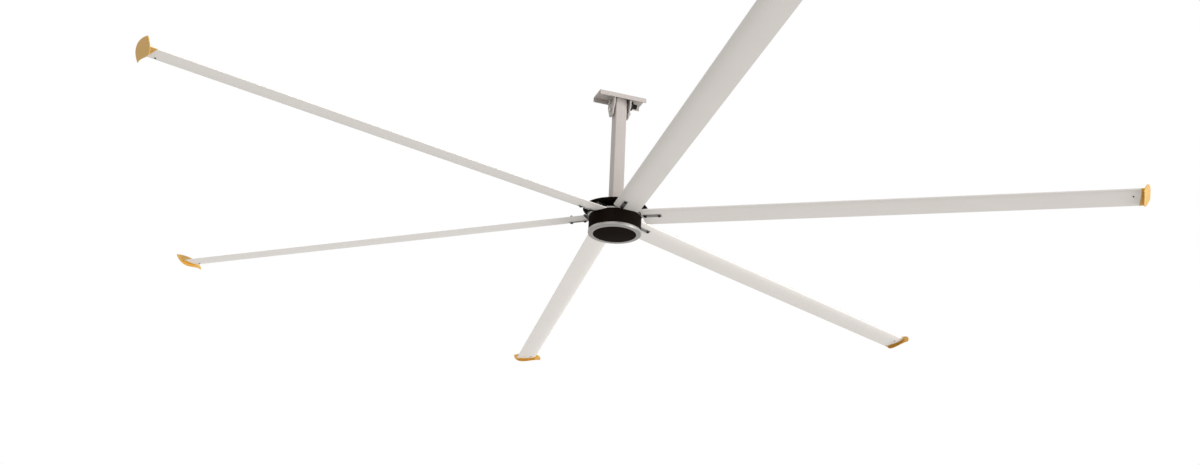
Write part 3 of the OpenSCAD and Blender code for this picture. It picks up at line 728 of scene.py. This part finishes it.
# Motor. Heights are measured from the rotor's origin.
SEAL_TOP = 12.0
SEAL_BOTTOM = 0.0
BELL_TOP = -6.0
UPPER_BEARING_TOP = -10.0
DRUM_TOP = -20.0
BELL_BOTTOM = -36.0
CAP_TOP = -112.0
DRUM_BOTTOM = -130.0
CAP_INSIDE = -134.0
LOWER_BEARING_BOTTOM = -140.0
CAP_UNDERSIDE = -144.0
COVER_SEAT = -151.0
CAP_BOTTOM = -155.0
DISC_BOTTOM = 38.0
DISC_TOP = 46.0
DISC_BORE = 46.0
DRUM_R = 195.0
DRUM_WALL = 8.0
RING_R = 198.0
DISC_R = 242.0
COVER_R = 160.0
COVER_TOP = CAP_BOTTOM + 4.0
COVER_FACE = CAP_BOTTOM + 0.5
CAP_INSIDE_R = 183.0
BEARING_R = 55.0
SHOULDER_R = 48.0
HOUSING_R = 68.0
SEAL_R = 46.0
ROUND_STEPS = 160


def ring_plate(inner, outer, low, high, width):
    """A large turned ring or plate of plain section, with rounded rims."""
    outline = [(inner, low), (outer, low), (outer, high), (inner, high)]
    return soften(spun(outline, ROUND_STEPS), width, 3)


def make_motor_shell():
    disc = ring_plate(DISC_BORE, DISC_R, DISC_BOTTOM, DISC_TOP, 1.5)
    finish_piece(disc, "hub_disc_plate", "rotor", "black_painted_steel", "hub_disc",
                 place=HUB_PLACE)
    bell = spun([(BEARING_R, BELL_BOTTOM), (HOUSING_R, BELL_BOTTOM), (HOUSING_R, DRUM_TOP),
                 (RING_R, DRUM_TOP), (RING_R, BELL_TOP - 3), (RING_R - 3, BELL_TOP),
                 (HOUSING_R + 5, BELL_TOP), (HOUSING_R, BELL_TOP + 5), (HOUSING_R, SEAL_TOP),
                 (SEAL_R, SEAL_TOP), (SEAL_R, SEAL_BOTTOM), (SHOULDER_R, SEAL_BOTTOM),
                 (SHOULDER_R, UPPER_BEARING_TOP), (BEARING_R, UPPER_BEARING_TOP)], ROUND_STEPS)
    finish_piece(soften(bell, 1.0, 3), "end_bell_casting", "rotor", "cast_aluminium",
                 "upper_end_bell", place=HUB_PLACE)
    drum = ring_plate(DRUM_R - DRUM_WALL, DRUM_R, DRUM_BOTTOM, DRUM_TOP, 1.2)
    finish_piece(drum, "motor_drum", "rotor", "black_aluminium", "motor_housing",
                 place=HUB_PLACE)
    cap = spun([(BEARING_R, CAP_TOP), (HOUSING_R, CAP_TOP), (HOUSING_R, CAP_INSIDE),
                (CAP_INSIDE_R, CAP_INSIDE), (CAP_INSIDE_R, DRUM_BOTTOM), (RING_R, DRUM_BOTTOM),
                (RING_R, CAP_BOTTOM + 8), (RING_R - 1.6, CAP_BOTTOM + 4),
                (RING_R - 4.2, CAP_BOTTOM + 1.4), (RING_R - 8, CAP_BOTTOM),
                (COVER_R + 0.5, CAP_BOTTOM), (COVER_R + 0.5, COVER_SEAT),
                (COVER_R - 10, COVER_SEAT), (COVER_R - 10, CAP_UNDERSIDE),
                (SHOULDER_R, CAP_UNDERSIDE), (SHOULDER_R, LOWER_BEARING_BOTTOM),
                (BEARING_R, LOWER_BEARING_BOTTOM)], ROUND_STEPS)
    finish_piece(soften(cap, 0.8, 3), "lower_cap_casting", "rotor", "cast_aluminium",
                 "lower_cap", place=HUB_PLACE)
    cover = ring_plate(0, COVER_R, COVER_FACE, COVER_TOP, 0.9)
    finish_piece(cover, "bottom_cover_plate", "rotor", "black_aluminium", "bottom_cover",
                 place=HUB_PLACE)


# Blade arms, straps and their bolts
PAD_START = 112.0
PAD_END = 205.0
PAD_HALF_W = 32.0
BAR_START = 200.5
ARM_END = 520.0
ARM_BOLTS = (138.0, 178.0)
BLADE_BOLTS = (235.0, 340.0)
BOLT_R = 6.0
BOLT_PITCH = 1.75
HEAD_R = 10.98
HEAD_H = 7.5
NUT_H = 10.2
STRAP_T = 4.0
STRAP_HALF_W = 15.0
STRAP_OVERLAP = 17.0
FACE_SHARE = 0.86
FACE_T = 0.6
UNDER_STRAP = -half_thickness(ARM_SHARE) - STRAP_T
NUT_SEAT = half_thickness(ARM_SHARE) + 1.0
SCREWS_START = FIRST_BLADE + 30.0
SCREW_R = 2.5
SCREW_HEAD_R = 5.0
SCREW_KEY = 1.5
SCREW_PITCH = 0.8
SCREW_LENGTH = 26.0
WINGLET_SCREW_INSET = 45.0


def make_arms():
    for number in ARMS:
        pad = block((PAD_START, -PAD_HALF_W, BELL_TOP), (PAD_END, PAD_HALF_W, DISC_BOTTOM), 2.5, 3)
        bmesh.ops.transform(pad, matrix=arm_turn(number), verts=pad.verts)
        beam = block((BAR_START, -BAR_HALF_W, -BAR_HALF_H), (ARM_END, BAR_HALF_W, BAR_HALF_H),
                     1.2)
        bmesh.ops.transform(beam, matrix=blade_turn(number), verts=beam.verts)
        finish_piece(join(pad, beam), f"blade_arm_{number}_forging", "rotor", "arm_aluminium",
                     f"blade_arm_{number}", place=HUB_PLACE)


def strap_outline():
    """The strap's section: flat below, and fitted to the blade's underside above."""
    shares = [chord_share(STRAP_HALF_W * (k / 5 - 1)) for k in range(11)]
    under = [(chord_place(u), camber_height(u) - half_thickness(u)) for u in shares]
    return [(-STRAP_HALF_W, UNDER_STRAP), (STRAP_HALF_W, UNDER_STRAP), *under[::-1]]


def make_straps():
    strap = extruded([strap_outline()], BLADE_BOLTS[1] - BLADE_BOLTS[0] + 2 * STRAP_OVERLAP)
    soften(strap, 1.0, 2, 60.0)
    place = shift(BLADE_BOLTS[0] - STRAP_OVERLAP, 0, 0) @ ALONG_X
    straps = stamp(strap, [blade_turn(number) @ place for number in ARMS])
    finish_piece(straps, "root_strap_set", "rotor", "dark_zinc_steel", "root_straps",
                 place=HUB_PLACE)


def make_blade_bolts():
    places = [blade_turn(number) @ shift(x, 0, 0) for number in ARMS for x in BLADE_BOLTS]
    head = hex_block(HEAD_R, HEAD_H - FACE_T)
    bmesh.ops.transform(head, matrix=shift(0, 0, UNDER_STRAP - FACE_T) @ turn(180, "X"),
                        verts=head.verts)
    face = bar(HEAD_R * FACE_SHARE, UNDER_STRAP - FACE_T - 0.1, UNDER_STRAP, 0.1)
    shank = bar(BOLT_R, UNDER_STRAP, NUT_SEAT - 2)
    end = thread(BOLT_R, NUT_SEAT - 3, NUT_SEAT + NUT_H + 4, BOLT_PITCH)
    bolt = join(head, face, shank, end)
    finish_piece(stamp(bolt, places), "blade_bolt_set", "rotor", "black_steel", "blade_bolts",
                 place=HUB_PLACE)
    nut = bored_nut(HEAD_R, NUT_H, BOLT_R + 0.05, NUT_SEAT)
    finish_piece(stamp(nut, places), "blade_nut_set", "rotor", "black_steel", "blade_nuts",
                 place=HUB_PLACE)


def make_arm_bolts():
    places = [arm_turn(number) @ shift(x, 0, 0) for number in ARMS for x in ARM_BOLTS]
    head = hex_block(HEAD_R, HEAD_H - FACE_T)
    bmesh.ops.translate(head, verts=head.verts, vec=(0, 0, DISC_TOP + FACE_T))
    face = bar(HEAD_R * FACE_SHARE, DISC_TOP, DISC_TOP + FACE_T + 0.1, 0.1)
    bolt = join(head, face, bar(BOLT_R, DRUM_TOP + 1, DISC_TOP))
    finish_piece(stamp(bolt, places), "arm_bolt_set", "rotor", "black_steel", "arm_bolts",
                 place=HUB_PLACE)


def hanging_screw(head_height, key, length):
    """A socket screw with its head below 0 and its thread above."""
    head = socket_head(SCREW_HEAD_R, head_height, key)
    bmesh.ops.transform(head, matrix=turn(180, "X"), verts=head.verts)
    return join(head, thread(SCREW_R, 0, length, SCREW_PITCH))


def make_screws():
    spots = [turn(SCREWS_START + 60 * k, "Z") for k in range(6)]
    head = socket_head(SCREW_HEAD_R, 3.0, SCREW_KEY)
    bmesh.ops.translate(head, verts=head.verts, vec=(0, 0, BELL_TOP))
    low = CAP_BOTTOM + 7
    threads = [thread(SCREW_R, start, start + SCREW_LENGTH, SCREW_PITCH)
               for start in (BELL_TOP - SCREW_LENGTH, low)]
    places = [spot @ shift(DRUM_R - DRUM_WALL / 2, 0, 0) for spot in spots]
    finish_piece(stamp(join(head, *threads), places), "housing_screw_set", "rotor",
                 "zinc_steel", "housing_screws", place=HUB_PLACE)
    places = [spot @ shift(COVER_R - 5, 0, COVER_FACE) for spot in spots]
    finish_piece(stamp(hanging_screw(2.0, SCREW_KEY, 9), places), "cover_screw_set", "rotor",
                 "black_steel", "cover_screws", place=HUB_PLACE)
    seat = -half_thickness(ARM_SHARE) - 0.6
    places = [blade_turn(number) @ shift(BLADE_END - WINGLET_SCREW_INSET, 0, seat)
              for number in ARMS]
    finish_piece(stamp(hanging_screw(4.0, 1.7, -seat - 1), places), "winglet_screw_set", "rotor",
                 "black_steel", "winglet_screws", place=HUB_PLACE)


# Ceiling mount, its pivot and the clamp bolt
MOUNT_L = 375.0
MOUNT_W = 160.0
MOUNT_H = 38.0
MOUNT_T = 8.0
BOLT_X = 130.0
BOLT_Y = 40.0
BOLT_HOLE_R = 7.0
PIVOT_Z = -50.0
CLAMP_DROP = 70.0
SWING = 12.5
SLOT_R = 8.5
EAR_X = 60.0
EAR_OUT = 70.0
EAR_HALF_W = 70.0
EAR_TAPER_FROM = -85.0
EAR_LOW = -172.0
EAR_LOW_HALF_W = 40.0
EAR_CORNER = 30.0
BEAD_R = 4.0
BEAD_LENGTH = 132.0
PIVOT_R = 12.0
PIVOT_HEAD_R = 20.8
PIVOT_HEAD_H = 14.4
PIVOT_PITCH = 3.0
PIVOT_WASHER_T = 4.0
BUFFER_OUT = 100.0
PIVOT_NUTS = ((BUFFER_OUT + PIVOT_WASHER_T, 21.5), (BUFFER_OUT + 25.6, 12.0))
PIVOT_END = 142.5
CLAMP_R = 8.0
CLAMP_HEAD_R = 13.9
CLAMP_HEAD_H = 9.4
CLAMP_PITCH = 2.0
CLAMP_WASHER_T = 3.0
CLAMP_NUT_H = 13.0
BORE_PLAY = 0.05


def make_channel():
    """The web with its bolt holes, and a flange with a round bend along each side."""
    inside = MOUNT_W / 2 - MOUNT_T
    web = [(-MOUNT_L / 2, -inside), (MOUNT_L / 2, -inside), (MOUNT_L / 2, inside),
           (-MOUNT_L / 2, inside)]
    holes = [circle_points(x, y, BOLT_HOLE_R) for x in (-BOLT_X, BOLT_X) for y in (-BOLT_Y, BOLT_Y)]
    plate = extruded([web, *holes], MOUNT_T)
    bmesh.ops.translate(plate, verts=plate.verts, vec=(0, 0, -MOUNT_T))
    bend = [(inside + MOUNT_T * math.sin(a), -MOUNT_T + MOUNT_T * math.cos(a))
            for a in [math.radians(9 * k) for k in range(11)]]
    outline = [*bend, (MOUNT_W / 2, -MOUNT_H + 1), (MOUNT_W / 2 - 1, -MOUNT_H),
               (inside + 1, -MOUNT_H), (inside, -MOUNT_H + 1), (inside, -MOUNT_T)]
    sides = []
    for way in (1, -1):
        flange = extruded([[(y * way, z) for y, z in outline]], MOUNT_L)
        bmesh.ops.transform(flange, matrix=shift(-MOUNT_L / 2, 0, 0) @ ALONG_X,
                            verts=flange.verts)
        bmesh.ops.recalc_face_normals(flange, faces=flange.faces)
        sides.append(flange)
    channel = join(plate, *sides)
    seams = [face for face in channel.faces
             if abs(abs(face.calc_center_median().y) - inside) < 0.001
             and face.calc_center_median().z > -MOUNT_T]
    bmesh.ops.delete(channel, geom=seams, context="FACES_ONLY")
    bmesh.ops.remove_doubles(channel, verts=channel.verts, dist=MERGE)
    finish_piece(channel, "mount_channel_folded", "ceiling_mount", "painted_mount",
                 "mount_channel", place=MOUNT_PLACE)


def slot_outline():
    """The curved slot that the clamp bolt swings in: two arcs and two round ends."""
    swings = [math.radians(SWING * k / 6) for k in range(-6, 7)]
    ends = [math.radians(15 * k) for k in range(1, 12)]
    limit = swings[-1]
    spots = [(CLAMP_DROP + SLOT_R, a, 0) for a in swings]
    spots += [(CLAMP_DROP + SLOT_R * math.cos(b), limit, SLOT_R * math.sin(b)) for b in ends]
    spots += [(CLAMP_DROP - SLOT_R, a, 0) for a in swings[::-1]]
    spots += [(CLAMP_DROP - SLOT_R * math.cos(b), -limit, -SLOT_R * math.sin(b)) for b in ends]
    return [(reach * math.sin(a) + side * math.cos(a),
             PIVOT_Z - reach * math.cos(a) + side * math.sin(a)) for reach, a, side in spots]


def make_ears():
    arc = [(EAR_LOW_HALF_W - EAR_CORNER * (1 - math.cos(a)),
            EAR_LOW + EAR_CORNER * (1 - math.sin(a)))
           for a in [math.radians(9 * k) for k in range(11)]]
    side = [(EAR_HALF_W, -MOUNT_T), (EAR_HALF_W, EAR_TAPER_FROM), *arc]
    outline = side + [(-y, z) for y, z in side[::-1]]
    hole = circle_points(0, PIVOT_Z, PIVOT_R + 0.3, 48)
    for name, start, way in (("ear_left", -EAR_OUT, -1), ("ear_right", EAR_X, 1)):
        ear = extruded([outline, hole, slot_outline()], EAR_OUT - EAR_X)
        bmesh.ops.transform(ear, matrix=shift(start, 0, 0) @ ALONG_X, verts=ear.verts)
        soften(ear, 1.0, 2, 40.0)
        finish_piece(join(ear, weld_bead(EAR_OUT * way, way)), name + "_plate", "ceiling_mount",
                     "painted_mount", name, place=MOUNT_PLACE)


def weld_bead(x, way):
    """A rippled weld along the ear's top, inside the channel."""
    bm = bmesh.new()
    bmesh.ops.create_cone(bm, cap_ends=True, segments=16, radius1=BEAD_R, radius2=BEAD_R,
                          depth=BEAD_LENGTH)
    bmesh.ops.subdivide_edges(bm, edges=[edge for edge in bm.edges
                                         if abs(edge.verts[0].co.z - edge.verts[1].co.z) > 1],
                              cuts=60)
    for vert in bm.verts:
        swell = 1 + 0.09 * math.sin(vert.co.z * 0.95)
        vert.co.x *= swell
        vert.co.y *= swell
    bmesh.ops.transform(bm, matrix=shift(x + way, 0, -MOUNT_T - 1) @ turn(90, "X"),
                        verts=bm.verts)
    return bm


# Places of the pivot and clamp bolts, which are drawn along Z
PIVOT_AXIS = shift(0, 0, PIVOT_Z) @ turn(90, "Y")
CLAMP_AXIS = shift(0, 0, PIVOT_Z - CLAMP_DROP) @ turn(90, "Y")


def make_pivot():
    place = MOUNT_PLACE @ PIVOT_AXIS
    seat = -EAR_OUT - PIVOT_WASHER_T
    bore = PIVOT_R + BORE_PLAY
    head = hex_block(PIVOT_HEAD_R, PIVOT_HEAD_H)
    bmesh.ops.transform(head, matrix=shift(0, 0, seat - FACE_T) @ turn(180, "X"),
                        verts=head.verts)
    bolt = join(head, bar(18, seat - FACE_T - 0.1, seat, 0.2),
                bar(PIVOT_R, seat, BUFFER_OUT + 1),
                thread(PIVOT_R, BUFFER_OUT, PIVOT_END, PIVOT_PITCH))
    finish_piece(bolt, "pivot_bolt_turned", "ceiling_mount", "zinc_steel", "pivot_bolt",
                 place=place)
    washers = join(*[washer(22, bore, low, low + PIVOT_WASHER_T) for low in (seat, BUFFER_OUT)])
    finish_piece(washers, "pivot_washer_set", "ceiling_mount", "zinc_steel", "pivot_washers",
                 place=place)
    nuts = join(*[bored_nut(PIVOT_HEAD_R, height, bore, low) for low, height in PIVOT_NUTS])
    finish_piece(nuts, "pivot_nut_set", "ceiling_mount", "black_steel", "pivot_nuts",
                 place=place)
    buffer = soften(spun([(bore, EAR_OUT), (36, EAR_OUT), (36, 76), (33.5, 78), (33.5, 82),
                          (36, 84), (36, BUFFER_OUT), (bore, BUFFER_OUT)], 72), 2.0, 4, 40.0)
    finish_piece(buffer, "pivot_buffer_moulding", "ceiling_mount", "black_rubber",
                 "pivot_buffer", place=place)


def make_clamp():
    place = MOUNT_PLACE @ CLAMP_AXIS
    face = EAR_OUT + 0.2
    seat = face + CLAMP_WASHER_T
    bore = CLAMP_R + BORE_PLAY
    head = hex_block(CLAMP_HEAD_R, CLAMP_HEAD_H)
    bmesh.ops.transform(head, matrix=shift(0, 0, -seat - FACE_T) @ turn(180, "X"),
                        verts=head.verts)
    bolt = join(head, bar(12, -seat - FACE_T - 0.1, -seat, 0.2), bar(CLAMP_R, -seat, seat + 1),
                thread(CLAMP_R, seat, seat + 18, CLAMP_PITCH))
    finish_piece(bolt, "clamp_bolt_turned", "downrod", "zinc_steel", "clamp_bolt", place=place)
    washers = join(*[washer(17, bore, low, low + CLAMP_WASHER_T) for low in (-seat, face)])
    finish_piece(washers, "clamp_washer_set", "downrod", "zinc_steel", "clamp_washers",
                 place=place)
    finish_piece(bored_nut(CLAMP_HEAD_R, CLAMP_NUT_H, bore, seat), "clamp_nut_turned", "downrod",
                 "zinc_steel", "clamp_nut", place=place)


# Downrod
ROD_HALF = 45.0
ROD_TOP = -24.0
ROD_FLANGE = (76.0, 88.0)
FLANGE_R = 90.0
FLANGE_BORE = 14.0
FLANGE_BOLTS_R = 75.0
FLANGE_BOLT_END = 62.0
GROMMET_Z = -240.0


def rounded_square(half, radius, steps=8):
    """Points round a square with rounded corners."""
    points = []
    for k, (x, y) in enumerate(((1, 1), (-1, 1), (-1, -1), (1, -1))):
        for step in range(steps + 1):
            a = math.radians(90 * k + 90 * step / steps)
            points.append((x * (half - radius) + radius * math.cos(a),
                           y * (half - radius) + radius * math.sin(a)))
    return points


def make_downrod():
    foot = HUB.z * 1000 + ROD_FLANGE[1]
    tube = extruded([rounded_square(ROD_HALF, 9), rounded_square(ROD_HALF - 5, 4)],
                    ROD_TOP - foot)
    bmesh.ops.translate(tube, verts=tube.verts, vec=(0, 0, foot))
    finish_piece(join(tube, foot_weld(foot)), "downrod_tube", "downrod", "painted_mount",
                 "downrod", place=MOUNT_PLACE)
    flange = spun([(FLANGE_BORE, ROD_FLANGE[0]), (FLANGE_R, ROD_FLANGE[0]),
                   (FLANGE_R, ROD_FLANGE[1]), (FLANGE_BORE, ROD_FLANGE[1])])
    finish_piece(soften(flange, 1.2, 3), "rod_flange_plate", "downrod", "painted_mount",
                 "rod_flange", place=HUB_PLACE)


def foot_weld(foot):
    """A weld round the rod's foot."""
    outer = rounded_square(ROD_HALF + 6, 14, 10)
    inner = rounded_square(ROD_HALF - 1, 9, 10)
    return loft([[(x, y, foot) for x, y in outer],
                 [(x * 0.955, y * 0.955, foot + 4.0) for x, y in outer],
                 [(x, y, foot + 6.5) for x, y in inner]])


def make_flange_bolts():
    seat = ROD_FLANGE[1]
    head = hex_block(CLAMP_HEAD_R, CLAMP_HEAD_H)
    bmesh.ops.translate(head, verts=head.verts, vec=(0, 0, seat + FACE_T))
    bolt = join(head, bar(12, seat, seat + FACE_T + 0.1, 0.1),
                bar(CLAMP_R, FLANGE_BOLT_END, seat))
    places = [turn(90 * k, "Z") @ shift(FLANGE_BOLTS_R, 0, 0) for k in range(4)]
    finish_piece(stamp(bolt, places), "flange_bolt_set", "downrod", "zinc_steel",
                 "flange_bolts", place=HUB_PLACE)


def make_grommet():
    ring = spun([(7, 37), (17, 37), (17, 40), (12, 40), (12, 45), (17, 45), (17, 48), (7, 48)], 48)
    place = MOUNT_PLACE @ shift(0, 0, GROMMET_Z) @ turn(-90, "X")
    finish_piece(soften(ring, 0.9, 3), "cable_grommet_moulding", "downrod", "black_rubber",
                 "cable_grommet", place=place)


make_blades()
make_winglets()
make_motor_shell()
make_arms()
make_straps()
make_blade_bolts()
make_arm_bolts()
make_screws()
make_channel()
make_ears()
make_pivot()
make_clamp()
make_downrod()
make_flange_bolts()
make_grommet()


# Floor, sky and lamps
FLOOR_DEPTH = 7.5
FLOOR_SIZE = 120.0
FLOOR_GLOW = 0.28
SKY_STRENGTH = 0.5


def make_floor():
    """A pale floor far below, which shows from above only."""
    mesh = bpy.data.meshes.new("floor")
    bm = bmesh.new()
    bmesh.ops.create_grid(bm, x_segments=1, y_segments=1, size=FLOOR_SIZE / 2)
    bmesh.ops.translate(bm, verts=bm.verts, vec=(0, 0, -FLOOR_DEPTH))
    bm.to_mesh(mesh)
    bm.free()
    floor = bpy.data.objects.new("floor", mesh)
    bpy.context.scene.collection.objects.link(floor)
    material, shader = new_material("floor", (0.88, 0.88, 0.87), 0.8)
    tone = pattern(material, 0.4)
    vary_colour(material, shader, tone, (0.86, 0.86, 0.85), (0.9, 0.9, 0.89))
    shader.inputs["Emission Color"].default_value = (1, 1, 1, 1)
    path = add_node(material, "ShaderNodeLightPath")
    glow = add_node(material, "ShaderNodeMath", operation="MULTIPLY")
    glow.inputs[1].default_value = FLOOR_GLOW
    link(material, path.outputs["Is Camera Ray"], glow.inputs[0])
    link(material, glow.outputs["Value"], shader.inputs["Emission Strength"])
    clear = add_node(material, "ShaderNodeBsdfTransparent")
    mix = add_node(material, "ShaderNodeMixShader")
    side = add_node(material, "ShaderNodeNewGeometry")
    output = material.node_tree.nodes["Material Output"]
    link(material, side.outputs["Backfacing"], mix.inputs["Fac"])
    link(material, shader.outputs["BSDF"], mix.inputs[1])
    link(material, clear.outputs["BSDF"], mix.inputs[2])
    link(material, mix.outputs["Shader"], output.inputs["Surface"])
    mesh.materials.append(material)
    floor.visible_shadow = False


def make_sky():
    """Even soft light, and plain white where the camera or a gloss looks past the fan."""
    world = bpy.data.worlds.new("sky")
    bpy.context.scene.world = world
    world.use_nodes = True
    nodes = world.node_tree.nodes
    links = world.node_tree.links
    light = nodes["Background"]
    light.inputs["Color"].default_value = (1, 0.985, 0.97, 1)
    light.inputs["Strength"].default_value = SKY_STRENGTH
    white = nodes.new("ShaderNodeBackground")
    white.inputs["Color"].default_value = (1, 1, 1, 1)
    white.inputs["Strength"].default_value = 1.0
    path = nodes.new("ShaderNodeLightPath")
    seen = nodes.new("ShaderNodeMath")
    seen.operation = "MAXIMUM"
    gloss = nodes.new("ShaderNodeMath")
    gloss.operation = "MAXIMUM"
    mix = nodes.new("ShaderNodeMixShader")
    links.new(path.outputs["Is Glossy Ray"], gloss.inputs[0])
    links.new(path.outputs["Is Transmission Ray"], gloss.inputs[1])
    links.new(path.outputs["Is Camera Ray"], seen.inputs[0])
    links.new(gloss.outputs["Value"], seen.inputs[1])
    links.new(seen.outputs["Value"], mix.inputs["Fac"])
    links.new(light.outputs["Background"], mix.inputs[1])
    links.new(white.outputs["Background"], mix.inputs[2])
    links.new(mix.outputs["Shader"], nodes["World Output"].inputs["Surface"])


def make_sun(name, azimuth, height, strength, spread):
    """Soft light from one direction; a height below 0 shines up from below.

    Light from above has no gloss: its glare would turn the blades' tops white from the side.
    """
    data = bpy.data.lights.new(name, "SUN")
    data.energy = strength
    data.angle = math.radians(spread)
    lamp = bpy.data.objects.new(name, data)
    bpy.context.scene.collection.objects.link(lamp)
    a, b = math.radians(azimuth), math.radians(height)
    away = Vector((math.cos(a) * math.cos(b), math.sin(a) * math.cos(b), math.sin(b)))
    lamp.rotation_mode = "QUATERNION"
    lamp.rotation_quaternion = away.to_track_quat("Z", "Y")
    lamp.visible_glossy = height < 0


make_floor()
make_sky()
make_sun("low_sun", 325.0, -16.0, 2.4, 30.0)
make_sun("high_sun", 262.0, 42.0, 1.2, 35.0)

bpy.context.scene.view_settings.view_transform = "Standard"
